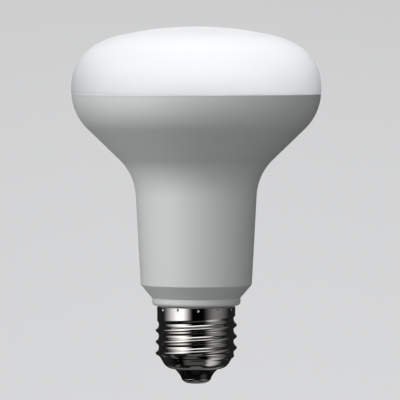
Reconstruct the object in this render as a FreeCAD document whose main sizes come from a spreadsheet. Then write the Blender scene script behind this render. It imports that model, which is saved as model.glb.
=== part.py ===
import FreeCAD, Part
import math
import os

import Sketcher
from FreeCAD import Placement, Rotation, Vector

# A reflector bulb with a screw cap: an opal diffuser on a moulded housing, whose neck carries
# a rolled metal screw shell, a black glass insulator and a centre contact.
# Millimetres, cap down: the tip of the centre contact is the origin and +Z runs up to the crown.

# Driving sizes: name, value, what it measures
sizeRows = [
    ("headDiameter", 80.0, "widest diameter, at the rim of the diffuser"),
    ("seamHeight", 92.65, "tip of the contact to the seam between diffuser and housing"),
    ("rimWall", 2.45, "straight wall of the diffuser above the seam"),
    ("shoulderRadius", 15.6, "arc from the rim wall onto the face"),
    ("kneeRadius", 25.8, "flatter arc between shoulder and crown"),
    ("kneeSpan", 16.89, "degrees that the knee arc turns through"),
    ("crownSpan", 13.22, "degrees that the crown arc turns through, from the axis"),
    ("seamBevel", 0.25, "bevel on both edges of the seam"),
    ("plugLedge", 2.5, "rim of the diffuser outside its stepped plug"),
    ("plugDepth", 3.0, "depth of that plug in the housing"),
    ("fitGap", 0.05, "clearance between pieces that are pushed together"),
    ("bellRadius", 17.3, "convex arc of the housing under the seam"),
    ("bellRise", 1.3, "centre of that arc above the seam"),
    ("coneAngle", 46.0, "degrees between the housing's cone and the axis"),
    ("throatRadius", 17.1, "concave arc from the cone into the neck"),
    ("neckDraft", 3.08, "degrees of draft on the neck"),
    ("neckDiameter", 35.66, "lower end of the neck"),
    ("bevelHeight", 4.27, "bevel between the neck and the ring under it"),
    ("collarOverhang", 1.1, "ring that the cap is pushed up against, outside the thread's crest"),
    ("collarLength", 2.35, "height of that ring"),
    ("collarGap", 0.4, "slit between the ring and the upper edge of the shell"),
    ("collarRound", 0.8, "rounded lower edge of the ring"),
    ("shellHeight", 24.7, "upper edge of the screw shell above the tip"),
    ("shellFoot", 4.65, "lowest point of the screw shell above the tip"),
    ("sheet", 0.3, "thickness of the rolled sheet"),
    ("threadPitch", 3.629, "seven turns to the inch"),
    ("threadDiameter", 26.2, "crest of the thread"),
    ("threadDepth", 1.0, "crest to root of the thread"),
    ("threadRise", 3.28, "foot of the shell to the middle of the ridge, at +X on its first turn"),
    ("skirtInset", 0.5, "plain skirt inside the crest"),
    ("skirtLength", 3.5, "plain skirt from the upper edge to the first groove"),
    ("skirtStep", 1.0, "height over which the skirt falls to the root of the thread"),
    ("ridgeFoot", 2.7, "width of the ridge at the root"),
    ("ridgeWaist", 1.5, "width of the ridge where its flank breaks"),
    ("ridgeWaistRise", 0.65, "height of that break above the root"),
    ("ridgeCrown", 0.6, "width of the flattened crest"),
    ("runOutRise", 4.55, "foot of the shell to the height where the crest fades downwards"),
    ("runOutDrop", 1.9, "lower end of the skirt to the height where the crest fades upwards"),
    ("mouthInset", 4.95, "opening at the foot of the shell inside the root, filled by the glass"),
    ("bowlRadius", 4.1, "arc that turns the sheet in to the opening"),
    ("bowlTaper", 30.0, "degrees between the taper above that arc and the axis"),
    ("stakeCount", 12, "punch marks that fix the shell on the housing"),
    ("stakeDiameter", 1.1, "mouth of a punch mark"),
    ("stakeDepth", 0.35, "depth of a punch mark"),
    ("stakeDrop", 0.8, "punch marks below the upper edge of the shell"),
    ("stakeTurn", 2.5, "degrees from the front to the nearest punch mark"),
    ("glassDepth", 1.5, "glass above the sheet, inside the shell"),
    ("glassHollow", 8.0, "concave arc of the glass between shell and contact"),
    ("glassRing", 2.4, "glass between the shell's opening and the rim of the centre contact"),
    ("contactEdge", 1.335, "lower edge of that rim above the tip"),
    ("contactBand", 0.215, "rim of the contact below the glass"),
    ("contactFlat", 4.0, "diameter of the flat at the tip"),
    ("shankDiameter", 3.2, "stem of the contact through the glass"),
]

doc = FreeCAD.newDocument("ReflectorBulb")
sizes = doc.addObject("Spreadsheet::Sheet", "Sizes")
for row, (alias, value, note) in enumerate(sizeRows, start=1):
    sizes.set(f"A{row}", note)
    sizes.set(f"B{row}", str(value))
    sizes.setAlias(f"B{row}", alias)
doc.recompute()

# Radii and heights that several pieces share, as formulas of the driving sizes
headRadius = "Sizes.headDiameter / 2"
plugRadius = f"({headRadius} - Sizes.plugLedge)"
neckRadius = "Sizes.neckDiameter / 2"
crestRadius = "Sizes.threadDiameter / 2"
rootRadius = f"({crestRadius} - Sizes.threadDepth)"
skirtRadius = f"({crestRadius} - Sizes.skirtInset)"
collarRadius = f"({crestRadius} + Sizes.collarOverhang)"
mouthRadius = f"({rootRadius} - Sizes.mouthInset)"
contactRadius = f"({mouthRadius} - Sizes.glassRing)"
contactSeat = "(Sizes.contactEdge + Sizes.contactBand)"
plugFoot = "(Sizes.seamHeight - Sizes.plugDepth)"
collarFoot = "(Sizes.shellHeight + Sizes.collarGap)"
collarTop = f"({collarFoot} + Sizes.collarLength)"
neckFoot = f"({collarTop} + Sizes.bevelHeight)"
skirtFoot = "(Sizes.shellHeight - Sizes.skirtLength)"
threadStart = "(Sizes.shellFoot + Sizes.threadRise)"
runOutFoot = "(Sizes.shellFoot + Sizes.runOutRise)"
runOutHead = f"({skirtFoot} - Sizes.runOutDrop)"
sheetFloor = "(Sizes.shellFoot + Sizes.sheet)"
bowlHeight = "(Sizes.shellFoot + Sizes.bowlRadius)"
glassTop = "(Sizes.shellFoot + Sizes.sheet + Sizes.glassDepth)"


def size(alias):
    """A driving size as a number."""
    return float(sizes.get(alias))


def number(formula):
    """A formula of the driving sizes as a number."""
    return float(sizes.evalExpression(formula.replace("Sizes.", "")))


def taperRadius(height, inset):
    """Radius of the shell's taper at a height, moved inwards by an inset."""
    return (
        f"({mouthRadius} + (Sizes.bowlRadius - ({inset})) / cos(Sizes.bowlTaper * 1 deg)"
        f" + ({height} - {bowlHeight}) * tan(Sizes.bowlTaper * 1 deg))"
    )


def taperHeight(radius, inset):
    """Height at which the shell's taper, moved inwards by an inset, has a radius."""
    return (
        f"({bowlHeight} + ({radius} - {mouthRadius}"
        f" - (Sizes.bowlRadius - ({inset})) / cos(Sizes.bowlTaper * 1 deg))"
        f" / tan(Sizes.bowlTaper * 1 deg))"
    )


def originPart(body, role):
    return next(part for part in body.Origin.OriginFeatures if part.Role == role)


class Outline:
    """A closed outline in a body's XZ plane: x is the radius and y the height."""

    def __init__(self, body, name, x, y):
        self.sketch = body.newObject("Sketcher::SketchObject", name)
        self.sketch.AttachmentSupport = (originPart(body, "XZ_Plane"), [""])
        self.sketch.MapMode = "FlatFace"
        self.start = Vector(self.value(x), self.value(y), 0)
        self.pen = self.start
        self.last = None

    def value(self, formula):
        return float(self.sketch.evalExpression(formula))

    def drive(self, kind, *places, by):
        """A dimension that follows a formula of the sheet."""
        value = self.value(by)
        if kind == "Angle":
            value = math.radians(value)
            by = f"({by}) * 1 deg"
        index = self.sketch.addConstraint(Sketcher.Constraint(kind, *places, value))
        self.sketch.setExpression(f"Constraints[{index}]", by)

    def place(self, index, point, x, y):
        """Holds a point at a radius and a height."""
        if self.value(x) == 0:
            self.sketch.addConstraint(Sketcher.Constraint("PointOnObject", index, point, -2))
        else:
            self.drive("DistanceX", -1, 1, index, point, by=x)
        self.drive("DistanceY", -1, 1, index, point, by=y)

    def join(self, piece, startPoint, smooth):
        """Adds a line or arc at the end of the one before it, tangent to it where smooth."""
        index = self.sketch.addGeometry(piece)
        if self.last is None:
            self.first = (index, startPoint)
        else:
            kind = "Tangent" if smooth else "Coincident"
            self.sketch.addConstraint(Sketcher.Constraint(kind, *self.last, index, startPoint))
        self.last = (index, 3 - startPoint)
        return index

    def line(self, end, smooth=False):
        index = self.join(Part.LineSegment(self.pen, end), 1, smooth)
        self.pen = end
        return index

    def arc(self, centre, end, smooth=False):
        """An arc the short way round. A sketch's arc runs anticlockwise, so it may start at its end."""
        arms = [self.pen - centre, end - centre]
        clockwise = arms[0].cross(arms[1]).z < 0
        angles = [math.atan2(arm.y, arm.x) for arm in arms]
        if clockwise:
            angles.reverse()
        circle = Part.Circle(centre, Vector(0, 0, 1), arms[0].Length)
        index = self.join(Part.ArcOfCircle(circle, *angles), 2 if clockwise else 1, smooth)
        self.pen = end
        return index

    def corners(self, points):
        """Straight lines to corners, each held at its radius and height."""
        for x, y in points:
            index = self.line(Vector(self.value(x), self.value(y), 0))
            self.place(index, 2, x, y)

    def close(self, x, y):
        """A last line back to the start, which is held at its radius and height."""
        index = self.line(self.start)
        self.sketch.addConstraint(Sketcher.Constraint("Coincident", *self.last, *self.first))
        self.place(index, 2, x, y)

    def fix(self, kind, *places):
        self.sketch.addConstraint(Sketcher.Constraint(kind, *places))


def straightOutline(body, name, points):
    """An outline of straight lines only."""
    outline = Outline(body, name, *points[0])
    outline.corners(points[1:])
    outline.close(*points[0])
    return outline


def newBody(label):
    body = doc.addObject("PartDesign::Body", label)
    body.Label = label
    return body


def turn(body, sketch, kind, axis="V_Axis"):
    """A Revolution adds, and a Groove removes, what a sketch sweeps in a full turn."""
    feature = body.newObject(f"PartDesign::{kind}", sketch.Name + "Turned")
    feature.Profile = sketch
    feature.ReferenceAxis = (sketch, [axis])
    feature.Angle = 360
    doc.recompute()
    return feature


def finishEdge(body, kind, length, by, radius, height):
    """Bevels or rounds the circular edge that lies at a radius and a height."""
    near = 1e-5
    base = body.Tip
    edges = [
        f"Edge{index}"
        for index, edge in enumerate(base.Shape.Edges, start=1)
        if not edge.Degenerated
        and isinstance(edge.Curve, Part.Circle)
        and math.isclose(edge.Curve.Radius, radius, abs_tol=near)
        and math.isclose(edge.Curve.Center.z, height, abs_tol=near)
    ]
    feature = body.newObject(f"PartDesign::{kind}", body.Name + kind)
    feature.Base = (base, edges)
    feature.setExpression(length, by)
    doc.recompute()


def stakeCone(body, name, kind, tip, wide):
    """A ring of cones with their axes along the radius: punch marks, their bumps and their pits."""
    halfWidth = f"Sizes.stakeDiameter / 2 * ({wide} - {tip}) / Sizes.stakeDepth"
    outline = straightOutline(body, name, [(tip, "0"), (wide, "0"), (wide, halfWidth)])
    sketch = outline.sketch
    sketch.AttachmentOffset = Placement(Vector(), Rotation(Vector(0, 1, 0), size("stakeTurn")))
    sketch.setExpression("AttachmentOffset.Base.y", "Sizes.shellHeight - Sizes.stakeDrop")
    sketch.setExpression("AttachmentOffset.Rotation.Angle", "Sizes.stakeTurn * 1 deg")
    cone = turn(body, sketch, kind, "H_Axis")
    ring = body.newObject("PartDesign::PolarPattern", name + "Ring")
    ring.Originals = [cone]
    ring.Axis = (originPart(body, "Z_Axis"), [""])
    ring.Angle = 360
    ring.setExpression("Occurrences", "Sizes.stakeCount")
    body.Tip = ring
    doc.recompute()


def makeDiffuser():
    """Opal dome: rim wall, then shoulder, knee and crown as tangent arcs, over a stepped plug."""
    body = newBody("diffuser")
    rim = size("headDiameter") / 2
    wallTop = size("seamHeight") + size("rimWall")
    shoulder = size("shoulderRadius")
    knee = size("kneeRadius")
    kneeStart = math.radians(size("crownSpan"))
    shoulderStart = math.radians(size("crownSpan") + size("kneeSpan"))
    shoulderReach = shoulder * (1 - math.sin(shoulderStart))
    kneeReach = knee * (math.sin(shoulderStart) - math.sin(kneeStart))
    crown = (rim - shoulderReach - kneeReach) / math.sin(kneeStart)

    outline = Outline(body, "DiffuserSection", "0", plugFoot)
    outline.corners([
        (plugRadius, plugFoot),
        (plugRadius, "Sizes.seamHeight"),
        (headRadius, "Sizes.seamHeight"),
    ])
    wall = outline.line(Vector(rim, wallTop, 0))
    outline.place(wall, 2, headRadius, "Sizes.seamHeight + Sizes.rimWall")
    arcs = []
    outward = Vector(1, 0, 0)
    for radius, slope in ((shoulder, shoulderStart), (knee, kneeStart), (crown, 0)):
        centre = outline.pen - outward * radius
        outward = Vector(math.sin(slope), math.cos(slope), 0)
        arcs.append(outline.arc(centre, centre + outward * radius, smooth=True))
    shoulderArc, kneeArc, crownArc = arcs
    outline.drive("Radius", shoulderArc, by="Sizes.shoulderRadius")
    outline.drive("Radius", kneeArc, by="Sizes.kneeRadius")
    outline.drive("Angle", kneeArc, by="Sizes.kneeSpan")
    outline.drive("Angle", crownArc, by="Sizes.crownSpan")
    outline.fix("PointOnObject", crownArc, 2, -2)
    outline.fix("PointOnObject", crownArc, 3, -2)
    outline.close("0", plugFoot)
    turn(body, outline.sketch, "Revolution")
    finishEdge(body, "Chamfer", "Size", "Sizes.seamBevel", rim, size("seamHeight"))
    return body


def makeHousing():
    """Moulded housing: bell, cone, throat and drafted neck, the collar, and the stem in the cap."""
    body = newBody("housing")
    seam = size("seamHeight")
    bell = size("bellRadius")
    throat = size("throatRadius")
    cone = math.radians(size("coneAngle"))
    draft = math.radians(size("neckDraft"))
    coneOut = Vector(math.cos(cone), -math.sin(cone), 0)
    coneDown = Vector(-math.sin(cone), -math.cos(cone), 0)
    neckDown = Vector(-math.sin(draft), -math.cos(draft), 0)
    bellCentre = Vector(size("headDiameter") / 2 - bell, seam + size("bellRise"), 0)
    rim = bellCentre.x + math.sqrt(bell**2 - size("bellRise") ** 2)
    bellEnd = bellCentre + coneOut * bell
    neckEnd = Vector(number(neckRadius), number(neckFoot), 0)
    coneLength = (neckEnd - bellEnd).cross(neckDown).z / coneDown.cross(neckDown).z
    corner = bellEnd + coneDown * coneLength
    setback = throat * math.tan((cone - draft) / 2)
    throatStart = corner - coneDown * setback

    socketFloor = f"{plugFoot} - Sizes.fitGap"
    socketRadius = f"{plugRadius} + Sizes.fitGap"
    outline = Outline(body, "HousingSection", "0", socketFloor)
    outline.corners([
        (socketRadius, socketFloor),
        (socketRadius, "Sizes.seamHeight"),
    ])
    top = outline.line(Vector(rim, seam, 0))
    outline.fix("Horizontal", top)
    bellArc = outline.arc(bellCentre, bellEnd)
    outline.drive("DistanceX", -1, 1, bellArc, 3, by=f"{headRadius} - Sizes.bellRadius")
    outline.drive("DistanceY", -1, 1, bellArc, 3, by="Sizes.seamHeight + Sizes.bellRise")
    outline.drive("Radius", bellArc, by="Sizes.bellRadius")
    coneLine = outline.line(throatStart, smooth=True)
    outline.drive("Angle", coneLine, by="-90 - Sizes.coneAngle")
    throatArc = outline.arc(throatStart + coneOut * throat, corner + neckDown * setback, smooth=True)
    outline.drive("Radius", throatArc, by="Sizes.throatRadius")
    neckLine = outline.line(neckEnd, smooth=True)
    outline.drive("Angle", neckLine, by="-90 - Sizes.neckDraft")
    outline.place(neckLine, 2, neckRadius, neckFoot)

    registerRadius = f"{skirtRadius} - Sizes.sheet - Sizes.fitGap"
    stemRadius = f"{rootRadius} - Sizes.sheet - Sizes.fitGap"
    taperInset = "Sizes.sheet + Sizes.fitGap"
    stemEnd = f"({bowlHeight} - (Sizes.bowlRadius - ({taperInset})) * sin(Sizes.bowlTaper * 1 deg))"
    outline.corners([
        (collarRadius, collarTop),
        (collarRadius, collarFoot),
        (registerRadius, collarFoot),
        (registerRadius, f"{skirtFoot} + Sizes.fitGap"),
        (stemRadius, f"{skirtFoot} + Sizes.fitGap"),
        (stemRadius, taperHeight(stemRadius, taperInset)),
        (taperRadius(stemEnd, taperInset), stemEnd),
        ("0", stemEnd),
    ])
    outline.close("0", socketFloor)
    turn(body, outline.sketch, "Revolution")
    finishEdge(body, "Chamfer", "Size", "Sizes.seamBevel", rim, seam)
    finishEdge(body, "Fillet", "Radius", "Sizes.collarRound", number(collarRadius), number(collarFoot))
    pitTip = f"({skirtRadius} - Sizes.stakeDepth - Sizes.sheet - 2 * Sizes.fitGap)"
    stakeCone(body, "Pit", "Groove", pitTip, skirtRadius)
    return body


def shellOutline(body, name, startHeight, inset, headHeight):
    """The shell's section, moved inwards by an inset, from the axis at its foot to its head."""
    outline = Outline(body, name, "0", startHeight)
    foot = f"{sheetFloor} - Sizes.sheet + ({inset})"
    outline.corners([(mouthRadius, startHeight)])
    if outline.value(startHeight) != outline.value(foot):
        outline.corners([(mouthRadius, foot)])
    radius = f"Sizes.bowlRadius - ({inset})"
    reach = outline.value(radius)
    taper = math.radians(size("bowlTaper"))
    centre = outline.pen + Vector(0, reach, 0)
    tangent = centre + Vector(math.cos(taper), -math.sin(taper), 0) * reach
    bowl = outline.arc(centre, tangent)
    outline.drive("DistanceX", -1, 1, bowl, 3, by=mouthRadius)
    outline.drive("Radius", bowl, by=radius)
    root = f"{rootRadius} - ({inset})"
    skirt = f"{skirtRadius} - ({inset})"
    taperEnd = Vector(outline.value(root), outline.value(taperHeight(root, inset)), 0)
    taperLine = outline.line(taperEnd, smooth=True)
    outline.drive("Angle", taperLine, by="90 - Sizes.bowlTaper")
    outline.drive("DistanceX", -1, 1, taperLine, 2, by=root)
    outline.corners([
        (root, f"{skirtFoot} - Sizes.skirtStep"),
        (skirt, skirtFoot),
        (skirt, headHeight),
        ("0", headHeight),
    ])
    outline.close("0", startHeight)
    return outline


def windUp(body, name, kind, steps, start, rise):
    """Winds a symmetrical profile up the shell, from its steps of radius and width."""
    lower = [(x, f"{start} - ({width}) / 2") for x, width in steps]
    upper = [(x, f"{start} + ({width}) / 2") for x, width in reversed(steps)]
    outline = straightOutline(body, name, lower + upper)
    helix = body.newObject(f"PartDesign::{kind}", name + "Wound")
    helix.Profile = outline.sketch
    helix.ReferenceAxis = (outline.sketch, ["V_Axis"])
    helix.Mode = "pitch-height-angle"
    helix.setExpression("Pitch", "Sizes.threadPitch")
    helix.setExpression("Height", rise)
    doc.recompute()


def threadSteps(inset):
    """Radius and width of the rounded ridge from its foot to its crest, moved inwards by an inset."""
    steps = [
        (f"{rootRadius} - 2 * Sizes.sheet", "Sizes.ridgeFoot"),
        (f"{rootRadius} - ({inset})", "Sizes.ridgeFoot"),
        (f"{rootRadius} + Sizes.ridgeWaistRise - ({inset})", "Sizes.ridgeWaist"),
        (f"{crestRadius} - ({inset})", "Sizes.ridgeCrown"),
    ]
    return [(radius, f"{width} - ({inset})") for radius, width in steps]


def makeRidge(body):
    """The ridge of the thread, cut back at both ends so that its crest fades out."""
    rise = f"{skirtFoot} + Sizes.ridgeFoot / 2 - {threadStart}"
    windUp(body, "Ridge", "AdditiveHelix", threadSteps("0"), threadStart, rise)
    inside = f"{rootRadius} - 3 * Sizes.sheet"
    outside = f"{crestRadius} + Sizes.sheet"
    below = f"{threadStart} - Sizes.threadPitch"
    above = "Sizes.shellHeight + Sizes.threadPitch"
    footTrim = straightOutline(body, "FootTrim", [
        (inside, below),
        (outside, below),
        (outside, f"{runOutFoot} + Sizes.sheet"),
        (inside, f"{runOutFoot} - ({crestRadius} - ({inside}))"),
    ])
    turn(body, footTrim.sketch, "Groove")
    headTrim = straightOutline(body, "HeadTrim", [
        (crestRadius, runOutHead),
        (outside, runOutHead),
        (outside, above),
        (skirtRadius, above),
        (skirtRadius, f"{runOutHead} + Sizes.skirtStep"),
    ])
    turn(body, headTrim.sketch, "Groove")


def makeScrewShell():
    """Rolled metal shell: plain skirt, round thread, taper, and a bowl turned in to the mouth."""
    body = newBody("screw_shell")
    makeRidge(body)
    outer = shellOutline(body, "ShellOutside", "Sizes.shellFoot", "0", "Sizes.shellHeight")
    turn(body, outer.sketch, "Revolution")
    clearFoot = "(Sizes.shellFoot - Sizes.sheet)"
    clearHead = "(Sizes.shellHeight + Sizes.sheet)"
    inner = shellOutline(body, "ShellInside", clearFoot, "Sizes.sheet", clearHead)
    turn(body, inner.sketch, "Groove")
    # Behind the ridge the sheet is hollow, from its second turn to where the crest fades
    hollowStart = f"({threadStart} + Sizes.threadPitch)"
    rise = f"{runOutHead} - Sizes.sheet - {hollowStart}"
    windUp(body, "Hollow", "SubtractiveHelix", threadSteps("Sizes.sheet"), hollowStart, rise)
    bumpTip = f"({skirtRadius} - Sizes.stakeDepth - Sizes.sheet)"
    stakeCone(body, "Bump", "Revolution", bumpTip, f"({skirtRadius} - Sizes.sheet / 2)")
    stakeCone(body, "Punch", "Groove", f"({skirtRadius} - Sizes.stakeDepth)",
              f"({skirtRadius} + Sizes.stakeDepth)")
    return body


def makeInsulator():
    """Black glass: fills the mouth and the bowl of the shell and carries the centre contact."""
    body = newBody("insulator")
    hole = "Sizes.shankDiameter / 2 + Sizes.fitGap"
    tip = f"{contactRadius} - Sizes.fitGap"
    mouth = f"{mouthRadius} - Sizes.fitGap"
    bowl = "(Sizes.bowlRadius - Sizes.sheet - Sizes.fitGap)"
    flangeFoot = f"{sheetFloor} + Sizes.fitGap"
    outline = Outline(body, "InsulatorSection", hole, contactSeat)
    outline.corners([(tip, contactSeat)])
    shellFoot = Vector(outline.value(mouth), size("shellFoot"), 0)
    chord = shellFoot - outline.pen
    hollow = size("glassHollow")
    below = Vector(chord.y, -chord.x, 0).normalize()
    depth = math.sqrt(hollow**2 - (chord.Length / 2) ** 2)
    side = outline.arc(outline.pen + chord * 0.5 + below * depth, shellFoot)
    outline.drive("Radius", side, by="Sizes.glassHollow")
    outline.place(side, 1, mouth, "Sizes.shellFoot")
    outline.corners([
        (mouth, flangeFoot),
        (mouthRadius, flangeFoot),
    ])
    reach = outline.value(bowl)
    centre = outline.pen + Vector(0, reach, 0)
    rise = outline.value(glassTop) - centre.y
    flange = outline.arc(centre, centre + Vector(math.sqrt(reach**2 - rise**2), rise, 0))
    outline.drive("DistanceX", -1, 1, flange, 3, by=mouthRadius)
    outline.drive("Radius", flange, by=bowl)
    outline.drive("DistanceY", -1, 1, flange, 2, by=glassTop)
    outline.corners([(hole, glassTop)])
    outline.close(hole, contactSeat)
    turn(body, outline.sketch, "Revolution")
    return body


def makeCentreContact():
    """Pressed contact: flat tip, round edge and rim band, with a stem through the glass."""
    body = newBody("centre_contact")
    flat = "Sizes.contactFlat / 2"
    shank = "Sizes.shankDiameter / 2"
    outline = Outline(body, "ContactSection", "0", "0")
    outline.corners([(flat, "0")])
    rise = size("contactEdge")
    reach = number(contactRadius) - outline.pen.x
    centre = outline.pen + Vector(0, (reach**2 + rise**2) / (2 * rise), 0)
    side = outline.arc(centre, outline.pen + Vector(reach, rise, 0))
    outline.drive("DistanceX", -1, 1, side, 3, by=flat)
    outline.place(side, 2, contactRadius, "Sizes.contactEdge")
    outline.corners([
        (contactRadius, contactSeat),
        (shank, contactSeat),
        (shank, glassTop),
        ("0", glassTop),
    ])
    outline.close("0", "0")
    turn(body, outline.sketch, "Revolution")
    return body


bodies = [
    makeDiffuser(),
    makeHousing(),
    makeScrewShell(),
    makeInsulator(),
    makeCentreContact(),
]
doc.recompute()

for item in doc.Objects:
    if "Invalid" in item.State or "Error" in item.State:
        raise RuntimeError(f"{item.Label} failed: {item.State}")
for body in bodies:
    if body.Shape.isNull() or not body.Shape.isValid() or len(body.Shape.Solids) != 1:
        raise RuntimeError(f"{body.Label} isn't one valid solid")

os.makedirs("parts", exist_ok=True)
for body in bodies:
    body.Shape.exportStep(f"parts/{body.Label}.step")
    print(f"{body.Label}: {body.Shape.Volume / 1000:.2f} cubic centimetres")
crown = max(body.Shape.BoundBox.ZMax for body in bodies)
print(f"overall length {crown:.2f} mm")
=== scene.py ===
import math

import bpy
import numpy as np
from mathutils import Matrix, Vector


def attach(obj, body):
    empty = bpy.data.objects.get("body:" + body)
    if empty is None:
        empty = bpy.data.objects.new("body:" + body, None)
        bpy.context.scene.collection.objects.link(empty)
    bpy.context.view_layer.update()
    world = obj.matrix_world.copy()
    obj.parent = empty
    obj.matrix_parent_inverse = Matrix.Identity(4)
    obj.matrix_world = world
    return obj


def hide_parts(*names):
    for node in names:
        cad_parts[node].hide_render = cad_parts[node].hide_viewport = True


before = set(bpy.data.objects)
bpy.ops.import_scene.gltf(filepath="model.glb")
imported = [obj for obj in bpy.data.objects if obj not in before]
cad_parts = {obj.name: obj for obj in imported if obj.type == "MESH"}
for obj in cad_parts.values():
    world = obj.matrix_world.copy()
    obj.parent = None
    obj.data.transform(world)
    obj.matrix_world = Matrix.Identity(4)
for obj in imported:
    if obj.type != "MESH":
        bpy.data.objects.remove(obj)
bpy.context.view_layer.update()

# A reflector lamp with a screw cap, cap down. Sections are in millimetres as (radius, height)
# pairs, with the tip of the centre contact at height 0; meshes are in metres.
millimetre = 0.001
straightTurn = 1e-4  # radians, below which a corner needs no round
samePoint = 1e-5  # millimetres, below which two points of a section are one


# A hex sRGB colour as linear numbers: the power 2.4 curve, or a straight line near black.
def linearColour(hexColour):
    parts = np.array([int(hexColour[i:i + 2], 16) for i in (1, 3, 5)]) / 255
    linear = np.where(parts <= 0.04045, parts / 12.92, ((parts + 0.055) / 1.055) ** 2.4)
    return (*linear, 1.0)


# Adds a node with its settings, its input values and its links, and returns it.
# An input goes by its name, or by its number as in0, and takes a number or colour, or an
# output socket to link from.
def addNode(tree, kind, settings=None, **inputs):
    node = tree.nodes.new(kind)
    for name, value in (settings or {}).items():
        setattr(node, name, value)
    for name, value in inputs.items():
        place = int(name[2:]) if name.startswith("in") else name.replace("_", " ")
        socket = node.inputs[place]
        if isinstance(value, bpy.types.NodeSocket):
            tree.links.new(value, socket)
        else:
            socket.default_value = value
    return node


# A material with its shader node linked to the output.
def newMaterial(name, build):
    material = bpy.data.materials.new(name)
    material.use_nodes = True
    tree = material.node_tree
    tree.nodes.clear()
    output = tree.nodes.new("ShaderNodeOutputMaterial")
    tree.links.new(build(tree), output.inputs["Surface"])
    return material


# Points of an arc in the section, at even angles in degrees, 0 along the radius and 90 upwards.
def arcPoints(centre, radius, start, end, count):
    angle = np.radians(np.linspace(start, end, count))
    return np.column_stack((centre[0] + radius * np.cos(angle), centre[1] + radius * np.sin(angle)))


# A section through corners given as (radius, height, rounding). Each corner is an arc that
# touches both runs at rounding * tan(half the turn) from it, and each long run gets rows
# near its ends, so that the shading of the flats stays flat.
def roundedSection(corners, arcSteps=6, support=0.3):
    corners = np.array(corners, float)
    points = [corners[0, :2]]
    for before, here, after in zip(corners[:-2], corners[1:-1], corners[2:]):
        arriving = here[:2] - before[:2]
        leaving = after[:2] - here[:2]
        arriving /= np.linalg.norm(arriving)
        leaving /= np.linalg.norm(leaving)
        turn = math.atan2(arriving[0] * leaving[1] - arriving[1] * leaving[0], arriving @ leaving)
        if here[2] == 0 or abs(turn) < straightTurn:
            points.append(here[:2])
            continue
        setback = here[2] * math.tan(abs(turn) / 2)
        inward = np.array((-arriving[1], arriving[0])) * math.copysign(1, turn)
        centre = here[:2] - arriving * setback + inward * here[2]
        angles = np.linspace(0, turn, arcSteps)
        spoke = -inward * here[2]
        cosines, sines = np.cos(angles), np.sin(angles)
        points.extend(centre + np.column_stack((
            spoke[0] * cosines - spoke[1] * sines,
            spoke[0] * sines + spoke[1] * cosines,
        )))
    points.append(corners[-1, :2])
    return supportRows(np.array(points), support)


# Adds rows just inside both ends of every run that is longer than four supports.
def supportRows(points, support):
    rows = []
    for start, end in zip(points[:-1], points[1:]):
        length = np.linalg.norm(end - start)
        rows.append(start)
        if length > 4 * support:
            along = (end - start) / length
            rows.extend((start + along * support, end - along * support))
    rows.append(points[-1])
    return np.array(rows)


# Sections one after the other, without repeated points.
def joinSections(*sections):
    points = np.vstack(sections)
    step = np.linalg.norm(np.diff(points, axis=0), axis=1)
    return points[np.concatenate(([True], step > samePoint))]


# Carries sections round the axis: at angle a from +X a point is (r cos a, r sin a, z).
# radii and heights are arrays of rows by columns.
def aroundAxis(radii, heights, angles):
    return np.stack((radii * np.cos(angles), radii * np.sin(angles), heights), axis=-1)


# A closed skin over a grid of points in millimetres. Columns go round anticlockwise and the
# last joins the first. Rows follow the section: they close on themselves, or end in two poles.
def skinPiece(name, grid, material, node, poles=None):
    rows, columns = grid.shape[:2]
    index = np.arange(rows * columns).reshape(rows, columns)
    if poles is None:
        index = np.vstack((index, index[:1]))
    ahead = np.roll(index, -1, axis=1)
    quads = np.stack((index[:-1], ahead[:-1], ahead[1:], index[1:]), axis=-1).reshape(-1, 4)
    points = grid.reshape(-1, 3)
    faces = quads.tolist()
    if poles is not None:
        first, last = len(points), len(points) + 1
        points = np.vstack((points, poles))
        faces += np.column_stack((np.full(columns, first), ahead[0], index[0])).tolist()
        faces += np.column_stack((index[-1], ahead[-1], np.full(columns, last))).tolist()
    mesh = bpy.data.meshes.new(name)
    mesh.from_pydata((points * millimetre).tolist(), [], faces)
    mesh.polygons.foreach_set("use_smooth", np.ones(len(faces), bool))
    mesh.update()
    piece = bpy.data.objects.new(name, mesh)
    bpy.context.collection.objects.link(piece)
    mesh.materials.append(material)
    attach(piece, "root")
    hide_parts(node)
    return piece


# A solid turned from a section that starts and ends on the axis.
def turnedPiece(name, section, columns, material, node):
    angles = np.linspace(0, 2 * np.pi, columns, endpoint=False)
    inner = section[1:-1]
    grid = aroundAxis(inner[:, :1] + 0 * angles, inner[:, 1:] + 0 * angles, angles)
    poles = [(0, 0, section[0, 1]), (0, 0, section[-1, 1])]
    return skinPiece(name, grid, material, node, poles)


# Scale of a pattern from the real width of its cells in millimetres: the cells in a metre.
def cellScale(width):
    return 1 / (width * millimetre)


# Opal polycarbonate, injection moulded: light soaks in and comes out again, so that its
# shadows are soft and it stays white down to the rim, under a faint satin gloss.
def opalPolycarbonate(tree):
    place = addNode(tree, "ShaderNodeTexCoord").outputs["Object"]
    ripple = addNode(tree, "ShaderNodeTexNoise", in0=place, Scale=cellScale(11.1), Detail=2.0)
    bump = addNode(tree, "ShaderNodeBump", Strength=0.06, Distance=0.2 * millimetre,
                   Height=ripple.outputs["Fac"])
    shader = addNode(tree, "ShaderNodeBsdfPrincipled", Base_Color=linearColour("#F4F5F8"),
                     Roughness=0.36, IOR=1.58, Subsurface_Weight=0.5,
                     Subsurface_Radius=(6 * millimetre,) * 3, Subsurface_Scale=1.0,
                     Normal=bump.outputs["Normal"])
    return shader.outputs["BSDF"]


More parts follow.
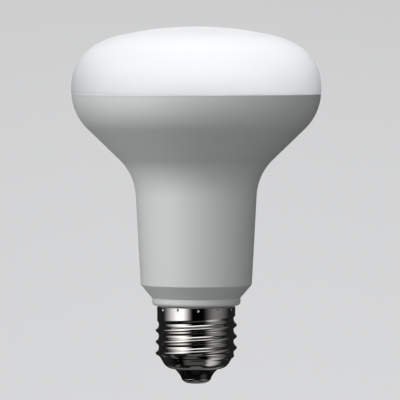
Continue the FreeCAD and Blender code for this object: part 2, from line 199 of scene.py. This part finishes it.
# White PBT housing, injection moulded in a finely spark-eroded tool: an even satin surface
# from a grain of 0.2 mm, which is too fine to be seen one by one, over slow flow ripples.
def whiteHousingMoulding(tree):
    place = addNode(tree, "ShaderNodeTexCoord").outputs["Object"]
    grain = addNode(tree, "ShaderNodeTexNoise", in0=place, Scale=cellScale(0.2), Detail=2.0)
    flow = addNode(tree, "ShaderNodeTexNoise", in0=place, Scale=cellScale(16.7), Detail=2.0)
    fine = addNode(tree, "ShaderNodeBump", Strength=0.15, Distance=0.03 * millimetre,
                   Height=grain.outputs["Fac"])
    bump = addNode(tree, "ShaderNodeBump", Strength=0.06, Distance=0.3 * millimetre,
                   Height=flow.outputs["Fac"], Normal=fine.outputs["Normal"])
    roughness = addNode(tree, "ShaderNodeMapRange", Value=flow.outputs["Fac"],
                        To_Min=0.42, To_Max=0.50)
    shader = addNode(tree, "ShaderNodeBsdfPrincipled", Base_Color=linearColour("#CED1CF"),
                     IOR=1.55, Subsurface_Weight=0.08, Subsurface_Radius=(millimetre,) * 3,
                     Subsurface_Scale=1.0, Roughness=roughness.outputs["Result"],
                     Normal=bump.outputs["Normal"])
    return shader.outputs["BSDF"]


# Brass sheet, rolled to the thread and nickel plated: a bright mirror with faint drawing
# lines round it, 0.4 mm apart, and a slightly uneven sheen from handling.
def nickelPlatedSheet(tree):
    place = addNode(tree, "ShaderNodeTexCoord").outputs["Object"]
    squeezed = addNode(tree, "ShaderNodeMapping", in0=place,
                       Scale=(cellScale(16.7), cellScale(16.7), cellScale(0.4)))
    lines = addNode(tree, "ShaderNodeTexNoise", in0=squeezed.outputs["Vector"], Scale=1.0, Detail=3.0)
    haze = addNode(tree, "ShaderNodeTexNoise", in0=place, Scale=cellScale(4.55), Detail=4.0)
    roughness = addNode(tree, "ShaderNodeMapRange", Value=haze.outputs["Fac"],
                        From_Min=0.35, From_Max=0.7, To_Min=0.05, To_Max=0.10)
    bump = addNode(tree, "ShaderNodeBump", Strength=0.02, Distance=0.04 * millimetre,
                   Height=lines.outputs["Fac"])
    shader = addNode(tree, "ShaderNodeBsdfPrincipled", Base_Color=linearColour("#DEDCD8"),
                     Metallic=1.0, Roughness=roughness.outputs["Result"],
                     Normal=bump.outputs["Normal"])
    return shader.outputs["BSDF"]


# Black lamp-cap glass, pressed while hot: opaque, glossy, with waves of 2 mm in its skin.
def blackCapGlass(tree):
    place = addNode(tree, "ShaderNodeTexCoord").outputs["Object"]
    waves = addNode(tree, "ShaderNodeTexNoise", in0=place, Scale=cellScale(2.22), Detail=2.0)
    bump = addNode(tree, "ShaderNodeBump", Strength=0.25, Distance=0.1 * millimetre,
                   Height=waves.outputs["Fac"])
    shader = addNode(tree, "ShaderNodeBsdfPrincipled", Base_Color=linearColour("#0B0B0D"),
                     Roughness=0.2, IOR=1.52, Normal=bump.outputs["Normal"])
    return shader.outputs["BSDF"]


# Plated brass contact, pressed and rubbed by the holder's spring: satin, with scratches about
# 0.3 mm apart.
def pressedContactMetal(tree):
    place = addNode(tree, "ShaderNodeTexCoord").outputs["Object"]
    rubbed = addNode(tree, "ShaderNodeMapping", in0=place,
                     Scale=(cellScale(2.5), cellScale(0.333), cellScale(2.5)))
    scratches = addNode(tree, "ShaderNodeTexNoise", in0=rubbed.outputs["Vector"], Scale=1.0, Detail=4.0)
    roughness = addNode(tree, "ShaderNodeMapRange", Value=scratches.outputs["Fac"],
                        From_Min=0.3, From_Max=0.7, To_Min=0.16, To_Max=0.3)
    bump = addNode(tree, "ShaderNodeBump", Strength=0.07, Distance=0.03 * millimetre,
                   Height=scratches.outputs["Fac"])
    shader = addNode(tree, "ShaderNodeBsdfPrincipled", Base_Color=linearColour("#D3D2CF"),
                     Metallic=1.0, Roughness=roughness.outputs["Result"],
                     Normal=bump.outputs["Normal"])
    return shader.outputs["BSDF"]


diffuser = {
    "rim": 40.0, "seam": 92.65, "wallTop": 95.1, "bevel": 0.25, "bevelRound": 0.12,
    "plug": 37.5, "plugFoot": 89.65, "plugRound": 0.3,
    "shoulder": 15.6, "knee": 25.8, "kneeSpan": 16.89, "crownSpan": 13.22,
    "columns": 288, "arcSteps": 40, "kneeSteps": 16,
}


# Plug and rim as rounded corners, then shoulder, knee and crown as arcs that touch: each
# centre lies on the last arc's end normal, and the crown's radius brings its centre to the axis.
def diffuserSection(part):
    rim = part["rim"]
    kneeStart = 90 - part["crownSpan"]
    shoulderEnd = kneeStart - part["kneeSpan"]
    slope = np.radians([shoulderEnd, kneeStart])
    shoulder = np.array((rim - part["shoulder"], part["wallTop"]))
    outward = np.column_stack((np.cos(slope), np.sin(slope)))
    knee = shoulder + outward[0] * (part["shoulder"] - part["knee"])
    kneeEnd = knee + outward[1] * part["knee"]
    crownRadius = kneeEnd[0] / outward[1, 0]
    crown = kneeEnd - outward[1] * crownRadius
    foot = roundedSection([
        (0, part["plugFoot"], 0),
        (part["plug"], part["plugFoot"], part["plugRound"]),
        (part["plug"], part["seam"], 0),
        (rim - part["bevel"], part["seam"], part["bevelRound"]),
        (rim, part["seam"] + part["bevel"], part["bevelRound"]),
        (rim, part["wallTop"], 0),
    ])
    return joinSections(
        foot,
        arcPoints(shoulder, part["shoulder"], 0, shoulderEnd, part["arcSteps"]),
        arcPoints(knee, part["knee"], shoulderEnd, kneeStart, part["kneeSteps"]),
        arcPoints(crown, crownRadius, kneeStart, 90, part["arcSteps"]),
    )


housing = {
    "rim": diffuser["rim"], "seam": diffuser["seam"],
    "bevel": diffuser["bevel"], "bevelRound": diffuser["bevelRound"],
    "socket": 37.55, "socketFloor": 89.6,
    "bell": 17.3, "bellRise": 1.3, "bellSetback": 0.9, "coneAngle": 46.0,
    "throat": 17.1, "draft": 3.08,
    "neckEnd": (17.83, 31.72), "neckRound": 0.45,
    "collar": 14.2, "collarTop": 27.45, "collarTopRound": 0.3, "collarFoot": 25.1, "collarRound": 1.1,
    "stem": 11.7, "stemRound": 0.5, "register": 12.2, "step": 21.3,
    "taperFoot": (10.35, 6.9), "taperFootRound": 0.2, "taperTop": 9.2,
    "columns": 288, "arcSteps": 24, "bellSteps": 40,
}


# Bell as an arc about (rim - bell, seam + rise), cone as a line off the axis by the cone's angle
# that touches it, then the neck as a line off the axis by the draft, with the throat's arc
# between them. The bell's arc stops a setback in degrees short of the rim, for the bevel.
def housingSection(part):
    cone = math.radians(part["coneAngle"])
    draft = math.radians(part["draft"])
    bellCentre = np.array((part["rim"] - part["bell"], part["seam"] + part["bellRise"]))
    coneStart = bellCentre + part["bell"] * np.array((math.cos(cone), -math.sin(cone)))
    coneDown = -np.array((math.sin(cone), math.cos(cone)))
    neckUp = np.array((math.sin(draft), math.cos(draft)))
    neckEnd = np.array(part["neckEnd"])
    reach = np.linalg.solve(np.column_stack((neckUp, -coneDown)), coneStart - neckEnd)
    corner = neckEnd + neckUp * reach[0]
    rimStart = math.degrees(-math.asin(part["bellRise"] / part["bell"]))
    rimEdge = bellCentre[0] + part["bell"] * math.cos(math.radians(rimStart))
    below = roundedSection([
        (0, part["taperFoot"][1], 0),
        (*part["taperFoot"], part["taperFootRound"]),
        (part["stem"], part["taperTop"], part["stemRound"]),
        (part["stem"], part["step"], 0),
        (part["register"], part["step"], 0),
        (part["register"], part["collarFoot"], 0),
        (part["collar"], part["collarFoot"], part["collarRound"]),
        (part["collar"], part["collarTop"], part["collarTopRound"]),
        (*neckEnd, part["neckRound"]),
        (*corner, part["throat"]),
        (*coneStart, 0),
    ], arcSteps=part["arcSteps"])
    above = roundedSection([
        (rimEdge, part["seam"] - part["bevel"], part["bevelRound"]),
        (rimEdge - part["bevel"], part["seam"], part["bevelRound"]),
        (part["socket"], part["seam"], 0),
        (part["socket"], part["socketFloor"], 0),
        (0, part["socketFloor"], 0),
    ])
    bell = arcPoints(bellCentre, part["bell"], -part["coneAngle"], rimStart - part["bellSetback"],
                     part["bellSteps"])
    return joinSections(below, bell, above)


shell = {
    "root": 12.1, "sheet": 0.3, "top": 24.7, "mouth": 7.15, "foot": 4.65,
    "bowl": 4.1, "taper": 30.0, "taperRound": 1.2,
    "pitch": 3.629, "depth": 1.0, "flank": 46.0, "crestRound": 0.7, "crestHeight": 13.37,
    "skirt": 12.6, "crestFull": 19.3, "crestGone": 20.5, "grooveFull": 21.1, "grooveGone": 22.4,
    "ledgeBlend": 0.3, "startGone": 7.7, "startFull": 9.25,
    "stakes": 12, "stakeTurn": 2.5, "stakeHeight": 23.98, "stakeReach": (0.36, 0.56),
    "stakeDepth": 0.3, "lipPlace": 1.15, "lipWidth": 0.18, "lipHeight": 0.03,
    "columns": 312, "crowding": 0.6, "rows": 226, "innerRows": 48, "bowlSteps": 40, "bendSteps": 20,
}


# 0 below one value and 1 above another, with the smooth cubic 3t^2 - 2t^3 between them.
def smoothStep(value, low, high):
    share = np.clip((value - low) / (high - low), 0, 1)
    return share * share * (3 - 2 * share)


# Drop of the thread below its crest at a distance along the axis: an arc at the crest, a
# straight flank, and an arc at the root. Pitch, depth and flank angle a give the two radii
# together as (pitch / 2 * sin a - depth * cos a) / (1 - cos a).
def threadDrop(part, distance):
    flank = math.radians(part["flank"])
    sine, cosine = math.sin(flank), math.cos(flank)
    half = part["pitch"] / 2
    crest = part["crestRound"]
    root = (half * sine - part["depth"] * cosine) / (1 - cosine) - crest
    onCrest = crest - np.sqrt(np.maximum(crest**2 - distance**2, 0))
    onFlank = crest * (1 - cosine) + (distance - crest * sine) * math.tan(flank)
    onRoot = part["depth"] - root + np.sqrt(np.maximum(root**2 - (half - distance) ** 2, 0))
    drop = np.where(distance < crest * sine, onCrest, onFlank)
    return np.where(half - distance < root * sine, onRoot, drop)


# The lower of two heights, rounded over where they cross.
def softLower(first, second, blend):
    share = np.clip(0.5 + (second - first) / (2 * blend), 0, 1)
    return share * first + (1 - share) * second - blend * share * (1 - share)


# Height of the rolled thread above its root. The crest climbs one pitch for each turn. Where it
# nears the skirt it fades down to it, and the groove above it fades up to it later in the turn.
# At the other end all of it fades into the taper.
def threadRise(part, angles, heights):
    climb = part["crestHeight"] + part["pitch"] * (angles - np.pi) / (2 * np.pi)
    above = (heights - climb + part["pitch"] / 2) % part["pitch"] - part["pitch"] / 2
    crestAt = heights - above
    grooveAt = crestAt + np.copysign(part["pitch"] / 2, above)
    thread = part["depth"] - threadDrop(part, np.abs(above))
    ledge = part["skirt"] - part["root"]
    crest = 1 - smoothStep(crestAt, part["crestFull"], part["crestGone"])
    groove = 1 - smoothStep(grooveAt, part["grooveFull"], part["grooveGone"])
    low = softLower(thread, ledge, part["ledgeBlend"])
    rise = ledge - groove * (ledge - low) + crest * (thread - low)
    return rise * smoothStep(heights, part["startGone"], part["startFull"])


# Angle of the first punch mark: a small turn past the side that faces the camera.
def firstStake(part):
    return -np.pi / 2 + math.radians(part["stakeTurn"])


# Punch marks round the skirt: a dent of depth (1 - d^2)^2 inside each oval mark, where d is
# the distance over the sheet from its middle as a share of the oval, and a thin raised lip, a
# bell curve in d round the edge.
def stakeDents(part, angles, heights):
    spacing = 2 * np.pi / part["stakes"]
    across = ((angles - firstStake(part) + spacing / 2) % spacing - spacing / 2) * part["skirt"]
    halfWidth, halfHeight = part["stakeReach"]
    distance = np.hypot(across / halfWidth, (heights - part["stakeHeight"]) / halfHeight)
    dent = np.where(distance < 1, (1 - distance**2) ** 2, 0)
    lip = np.exp(-((distance - part["lipPlace"]) / part["lipWidth"]) ** 2)
    return part["lipHeight"] * lip - part["stakeDepth"] * dent


# The sheet's outside as bowl arc, taper and root, spaced evenly along its length, and its
# inside as the same line moved in by the sheet's thickness, back down to the mouth.
def buildShell(part, material):
    centre = np.array((part["mouth"], part["foot"] + part["bowl"]))
    taper = math.radians(part["taper"])
    taperStart = centre + part["bowl"] * np.array((math.cos(taper), -math.sin(taper)))
    taperTop = taperStart[1] + (part["root"] - taperStart[0]) / math.tan(taper)
    outline = joinSections(
        arcPoints(centre, part["bowl"], -90, -part["taper"], part["bowlSteps"]),
        roundedSection([
            (*taperStart, 0),
            (part["root"], taperTop, part["taperRound"]),
            (part["root"], part["top"], 0),
        ], arcSteps=part["bendSteps"]),
    )
    length = np.concatenate(([0], np.cumsum(np.linalg.norm(np.diff(outline, axis=0), axis=1))))
    even = np.linspace(0, length[-1], part["rows"])
    outside = np.column_stack([np.interp(even, length, outline[:, axis]) for axis in (0, 1)])
    along = np.gradient(outside, axis=0)
    along /= np.linalg.norm(along, axis=1, keepdims=True)
    inward = np.column_stack((-along[:, 1], along[:, 0])) * part["sheet"]
    picked = np.linspace(part["rows"] - 1, 0, part["innerRows"]).round().astype(int)
    inside = (outside + inward)[picked]
    inside[0, 1] = part["top"]  # the upper edge is cut square
    section = np.vstack((outside, inside))

    # Columns crowd together at the n punch marks: a = u - crowding * sin(n * (u - first)) / n
    even = np.linspace(0, 2 * np.pi, part["columns"], endpoint=False)
    wave = np.sin(part["stakes"] * (even - firstStake(part)))
    angles = even - part["crowding"] * wave / part["stakes"]
    heights = section[:, 1:] + 0 * angles
    pressed = threadRise(part, angles, heights) + stakeDents(part, angles, heights)
    grid = aroundAxis(section[:, :1] + pressed, heights, angles)
    return skinPiece("rolledShell", grid, material, "screw_shell")


insulator = {
    "hole": 1.65, "seat": 1.55, "tip": 4.70, "tipFlat": 0.12,
    "mouth": 7.1, "foot": shell["foot"], "hollow": 8.0,
    "flange": shell["mouth"], "flangeFoot": 5.0, "flangeArc": 3.75, "top": 6.45,
    "columns": 160, "hollowSteps": 24, "flangeSteps": 10,
}


# The glass between contact and shell is hollowed by an arc about a point outside it, which lies
# at right angles to the middle of the chord between its ends, at sqrt(hollow^2 - half^2) from it.
def insulatorSection(part):
    start = np.array((part["tip"], part["seat"]))
    end = np.array((part["mouth"], part["foot"]))
    chord = end - start
    half = np.linalg.norm(chord) / 2
    outward = np.array((chord[1], -chord[0])) / (2 * half)
    centre = (start + end) / 2 + outward * math.sqrt(part["hollow"] ** 2 - half**2)
    angles = [math.degrees(math.atan2(*(point - centre)[::-1])) % 360 for point in (start, end)]
    hollow = arcPoints(centre, part["hollow"], *angles, part["hollowSteps"])
    flangeCentre = (part["flange"], part["flangeFoot"] + part["flangeArc"])
    rise = (part["top"] - flangeCentre[1]) / part["flangeArc"]
    flange = arcPoints(flangeCentre, part["flangeArc"], -90, math.degrees(math.asin(rise)),
                       part["flangeSteps"])
    return joinSections(
        [(part["hole"], part["seat"]), (part["tip"] - part["tipFlat"], part["seat"])],
        hollow,
        [(part["mouth"], part["flangeFoot"])],
        flange,
        [(part["hole"], part["top"])],
    )


# The glass is a ring round the contact's stem, so its rows close on themselves.
def buildInsulator(part, material):
    section = insulatorSection(part)
    angles = np.linspace(0, 2 * np.pi, part["columns"], endpoint=False)
    grid = aroundAxis(section[:, :1] + 0 * angles, section[:, 1:] + 0 * angles, angles)
    return skinPiece("pressedGlass", grid, material, "insulator")


contact = {
    "flat": 2.0, "edge": 3.5, "rim": 4.75, "seat": insulator["seat"], "seatRound": 0.06,
    "stem": 1.6, "stemTop": insulator["top"], "stemTopRound": 0.2,
    "columns": 160, "edgeSteps": 24, "support": 0.1, "tipRow": 0.5,
}


# A flat tip with one row of its own near the axis, an arc that leaves it smoothly and reaches
# the rim where its cosine is (rim - flat) / edge, and the stem above.
def contactSection(part):
    reach = (part["rim"] - part["flat"]) / part["edge"]
    side = arcPoints((part["flat"], part["edge"]), part["edge"], -90, -math.degrees(math.acos(reach)),
                     part["edgeSteps"])
    rimFoot = side[-1, 1]
    above = roundedSection([
        (part["rim"], rimFoot, 0),
        (part["rim"], part["seat"], part["seatRound"]),
        (part["stem"], part["seat"], 0),
        (part["stem"], part["stemTop"], part["stemTopRound"]),
        (0, part["stemTop"], 0),
    ], support=part["support"])
    return joinSections([(0, 0), (part["tipRow"], 0)], side, above)


face = turnedPiece("opalFace", diffuserSection(diffuser), diffuser["columns"],
                   newMaterial("opalPolycarbonate", opalPolycarbonate), "diffuser")
print("Opal face turned")
turnedPiece("mouldedHousing", housingSection(housing), housing["columns"],
            newMaterial("whiteHousingMoulding", whiteHousingMoulding), "housing")
print("Housing turned")
buildShell(shell, newMaterial("nickelPlatedSheet", nickelPlatedSheet))
print("Screw shell rolled")
buildInsulator(insulator, newMaterial("blackCapGlass", blackCapGlass))
turnedPiece("pressedContact", contactSection(contact), contact["columns"],
            newMaterial("pressedContactMetal", pressedContactMetal), "centre_contact")
print("Glass and contact made")


studio = {
    "floor": -0.16, "backdrop": 1.75, "sweep": 0.6, "width": 6.0, "height": 2.4, "front": -3.0,
    "sweepSteps": 25,
    "floorColour": "#8E8F91", "floorGlow": 0.42,
    "worldColour": "#E4E5E6", "worldLevel": 0.14,
}


# Floor and backdrop in one sheet: flat, then a quarter circle, then upright.
def buildSweep(part):
    turn = np.radians(np.linspace(-90, 0, part["sweepSteps"]))
    radius = part["sweep"]
    depth = np.concatenate(([part["front"]], part["backdrop"] - radius + radius * np.cos(turn),
                            [part["backdrop"]]))
    height = np.concatenate(([part["floor"]], part["floor"] + radius + radius * np.sin(turn),
                             [part["height"]]))
    half = part["width"] / 2
    points = np.vstack([np.column_stack((np.full(len(depth), side), depth, height))
                        for side in (-half, half)])
    first = np.arange(len(depth) - 1)
    second = first + len(depth)
    faces = np.column_stack((first, second, second + 1, first + 1))
    mesh = bpy.data.meshes.new("sweep")
    mesh.from_pydata(points.tolist(), [], faces.tolist())
    mesh.polygons.foreach_set("use_smooth", np.ones(len(faces), bool))
    sweep = bpy.data.objects.new("sweep", mesh)
    bpy.context.collection.objects.link(sweep)
    mesh.materials.append(newMaterial("studioPaper", studioPaper))
    return sweep


# 1 where a ray comes straight from the camera, off gloss or through glass, and 0 where it comes
# off a matt surface.
def seenDirectly(tree):
    path = addNode(tree, "ShaderNodeLightPath")
    gloss = addNode(tree, "ShaderNodeMath", {"operation": "MAXIMUM"}, in0=path.outputs["Is Camera Ray"],
                    in1=path.outputs["Is Glossy Ray"])
    seen = addNode(tree, "ShaderNodeMath", {"operation": "MAXIMUM"}, in0=gloss.outputs["Value"],
                   in1=path.outputs["Is Transmission Ray"])
    return seen.outputs["Value"]


# Matt studio paper, which looks paler than the light that it throws back on the lamp. It is
# clear from behind, so that the lamp can be seen from below.
def studioPaper(tree):
    paper = addNode(tree, "ShaderNodeBsdfDiffuse", Color=linearColour(studio["floorColour"]))
    level = addNode(tree, "ShaderNodeMapRange", Value=seenDirectly(tree), To_Max=studio["floorGlow"])
    glow = addNode(tree, "ShaderNodeEmission", Strength=level.outputs["Result"])
    lit = addNode(tree, "ShaderNodeAddShader", in0=paper.outputs["BSDF"], in1=glow.outputs["Emission"])
    clear = addNode(tree, "ShaderNodeBsdfTransparent")
    behind = addNode(tree, "ShaderNodeNewGeometry").outputs["Backfacing"]
    mix = addNode(tree, "ShaderNodeMixShader", in0=behind, in1=lit.outputs["Shader"],
                  in2=clear.outputs["BSDF"])
    return mix.outputs["Shader"]


# Cards and dark cloth close about the lamp, which only gloss sees. Each card is given by its
# azimuths from the camera's side, minus to the left, its elevations, both in degrees, its level
# of light, and the widths of its soft edges: left, right, lower and upper. A card that passes
# 180 or -90 has its edge out of sight there, so that it closes behind or below the lamp.
surround = {
    "radius": 0.15, "height": 0.008, "dark": 0.001, "rear": 0.016, "rearFrom": (80, 125),
    "columns": 240, "rows": 160,
    "cards": {
        "leftCard": ((-112, -10), (-14, 66), 1.95, (87, 40, 12, 6)),
        "overheadCard": ((-60, 75), (36, 64), 1.5, (20, 50, 5, 5)),
        "rightCard": ((18, 118), (-35, 45), 0.24, (38, 62, 10, 10)),
        "lowCard": ((38, 118), (-70, -18), 0.65, (26, 46, 9, 30)),
        "tableCard": ((-75, 75), (-66, -52), 0.085, (34, 30, 3, 5)),
        "gleamCard": ((-140, -75), (-60, -49), 0.11, (20, 15, 5, 3)),
        "floorCard": ((-181, 181), (-91, -76), 0.13, (1, 1, 1, 4)),
        "backCard": ((-181, -130), (-80, -26), 0.13, (1, 30, 4, 8)),
        "rimCard": ((130, 181), (-80, -26), 0.13, (30, 1, 4, 8)),
        "rimGleamCard": ((140, 175), (-50, -30), 0.3, (20, 2, 6, 6)),
        "behindLeftCard": ((-181, -154), (-14, 62), 0.8, (1, 18, 8, 8)),
        "behindRightCard": ((154, 181), (-14, 62), 0.8, (18, 1, 8, 8)),
    },
}


# 1 between two limits and 0 outside them, by smooth steps of their own widths inside the limits.
def softBand(value, limits, softLow, softHigh):
    low, high = limits
    return smoothStep(value, low, low + softLow) * (1 - smoothStep(value, high - softHigh, high))


# The level at a point of the sphere is the highest of the cards there, and a card's level is
# the product of its soft bands. The cloth behind is a little paler.
def surroundLevel(part, azimuth, elevation):
    level = part["dark"] + part["rear"] * smoothStep(np.abs(azimuth), *part["rearFrom"])
    for azimuths, elevations, light, (left, right, lower, upper) in part["cards"].values():
        across = softBand(azimuth, azimuths, left, right)
        along = softBand(elevation, elevations, lower, upper)
        level = np.maximum(level, across * along * light)
    return level


# A sphere about the cap as points (cos e sin a, -cos e cos a, sin e) times its radius, at azimuth
# a and elevation e, with each point's level kept on it.
def buildSurround(part):
    azimuth, elevation = np.meshgrid(np.linspace(-180, 180, part["columns"]),
                                     np.linspace(-90, 90, part["rows"]))
    turn, rise = np.radians(azimuth), np.radians(elevation)
    across = part["radius"] * np.cos(rise)
    points = np.stack((across * np.sin(turn), -across * np.cos(turn),
                       part["height"] + part["radius"] * np.sin(rise)), axis=-1)
    index = np.arange(azimuth.size).reshape(azimuth.shape)
    faces = np.stack((index[:-1, :-1], index[:-1, 1:], index[1:, 1:], index[1:, :-1]), axis=-1)
    mesh = bpy.data.meshes.new("glossSurround")
    mesh.from_pydata(points.reshape(-1, 3).tolist(), [], faces.reshape(-1, 4).tolist())
    level = mesh.attributes.new("level", "FLOAT", "POINT")
    level.data.foreach_set("value", surroundLevel(part, azimuth, elevation).ravel())
    sphere = bpy.data.objects.new("glossSurround", mesh)
    bpy.context.collection.objects.link(sphere)
    sphere.visible_camera = False
    sphere.visible_diffuse = False
    sphere.visible_shadow = False
    sphere.visible_transmission = False
    mesh.materials.append(newMaterial("cardAndCloth", cardAndCloth))


# White card and black velvet as pure light, as strong as the level at each point.
def cardAndCloth(tree):
    level = addNode(tree, "ShaderNodeAttribute", {"attribute_name": "level"}).outputs["Fac"]
    return addNode(tree, "ShaderNodeEmission", Strength=level).outputs["Emission"]


# Soft square lamps, all as far from the middle of the neck: azimuth from the camera's side, minus
# to the left, and elevation, in degrees, and power in watts.
lamps = {
    "distance": 1.6, "size": 0.9, "aim": (0.0, 0.0, 0.06),
    "housing": {
        "keyLamp": (-45, 25, 8.3), "sideLamp": (-70, 25, 9.3), "highLamp": (-20, 50, 4.9),
        "frontLamp": (12, 25, 5.0), "fillLamp": (70, 15, 1.9), "rearLamp": (176, 30, 12.0),
    },
    "face": {
        "faceTopLamp": (180, 87, 26.5), "faceLowLamp": (3, -34, 16.0), "faceRearLamp": (180, -25, 6.0),
        "faceLeftLamp": (-70, 11, 9.6), "faceRightLamp": (66, 11, 9.5),
    },
}


# A lamp that stands its distance from the aim, at azimuth a and elevation e along
# (cos e sin a, -cos e cos a, sin e), and looks back at it. The opal face hands light on inside
# itself, which evens it out from side to side, so it has even lamps of its own, and the lamps
# that model the housing leave it out. The face's lamps shine through the paper, as through a
# light table, so that one of them can stand below it.
def buildLamp(part, name, azimuth, elevation, power, face, faceOnly, paper):
    turn, rise = math.radians(azimuth), math.radians(elevation)
    level = math.cos(rise)
    toLamp = Vector((level * math.sin(turn), -level * math.cos(turn), math.sin(rise)))
    light = bpy.data.lights.new(name, "AREA")
    light.shape = "SQUARE"
    light.size = part["size"]
    light.energy = power
    lamp = bpy.data.objects.new(name, light)
    lamp.location = Vector(part["aim"]) + toLamp * part["distance"]
    lamp.rotation_euler = toLamp.to_track_quat("Z", "Y").to_euler()
    lamp.visible_camera = False
    lamp.visible_glossy = False
    bpy.context.collection.objects.link(lamp)
    lit = bpy.data.collections.new(name + "Lit")
    lit.objects.link(face)
    lit.collection_objects[0].light_linking.link_state = "INCLUDE" if faceOnly else "EXCLUDE"
    lamp.light_linking.receiver_collection = lit
    if faceOnly:
        clear = bpy.data.collections.new(name + "Clear")
        clear.objects.link(paper)
        clear.collection_objects[0].light_linking.link_state = "EXCLUDE"
        lamp.light_linking.blocker_collection = clear


# The room's light. Cameras and gloss see it at its own colour, and matt surfaces see it dimmer.
def buildWorld(part):
    world = bpy.data.worlds.new("studioRoom")
    bpy.context.scene.world = world
    world.use_nodes = True
    tree = world.node_tree
    tree.nodes.clear()
    level = addNode(tree, "ShaderNodeMapRange", Value=seenDirectly(tree),
                    To_Min=part["worldLevel"], To_Max=1.0)
    room = addNode(tree, "ShaderNodeBackground", Color=linearColour(part["worldColour"]),
                   Strength=level.outputs["Result"])
    output = tree.nodes.new("ShaderNodeOutputWorld")
    tree.links.new(room.outputs["Background"], output.inputs["Surface"])


camera = {
    "place": (0.0012, -1.3, 0.103), "target": (0.0012, 0.0, 0.0588),
    "focal": 365.4, "sensor": 36.0, "clipEnd": 50.0,
}


# A long lens at the camera's place, turned so that its -Z runs to the target.
def buildCamera(part):
    lens = bpy.data.cameras.new("camera")
    lens.lens = part["focal"]
    lens.sensor_width = part["sensor"]
    lens.clip_end = part["clipEnd"]
    view = bpy.data.objects.new("camera", lens)
    view.location = part["place"]
    sight = Vector(part["target"]) - Vector(part["place"])
    view.rotation_euler = sight.to_track_quat("-Z", "Y").to_euler()
    bpy.context.collection.objects.link(view)
    bpy.context.scene.camera = view


paper = buildSweep(studio)
buildSurround(surround)
for group in ("housing", "face"):
    for name, (azimuth, elevation, power) in lamps[group].items():
        buildLamp(lamps, name, azimuth, elevation, power, face, group == "face", paper)
buildWorld(studio)
buildCamera(camera)
bpy.context.scene.view_settings.view_transform = "Standard"
print("Studio, lamps and camera set")
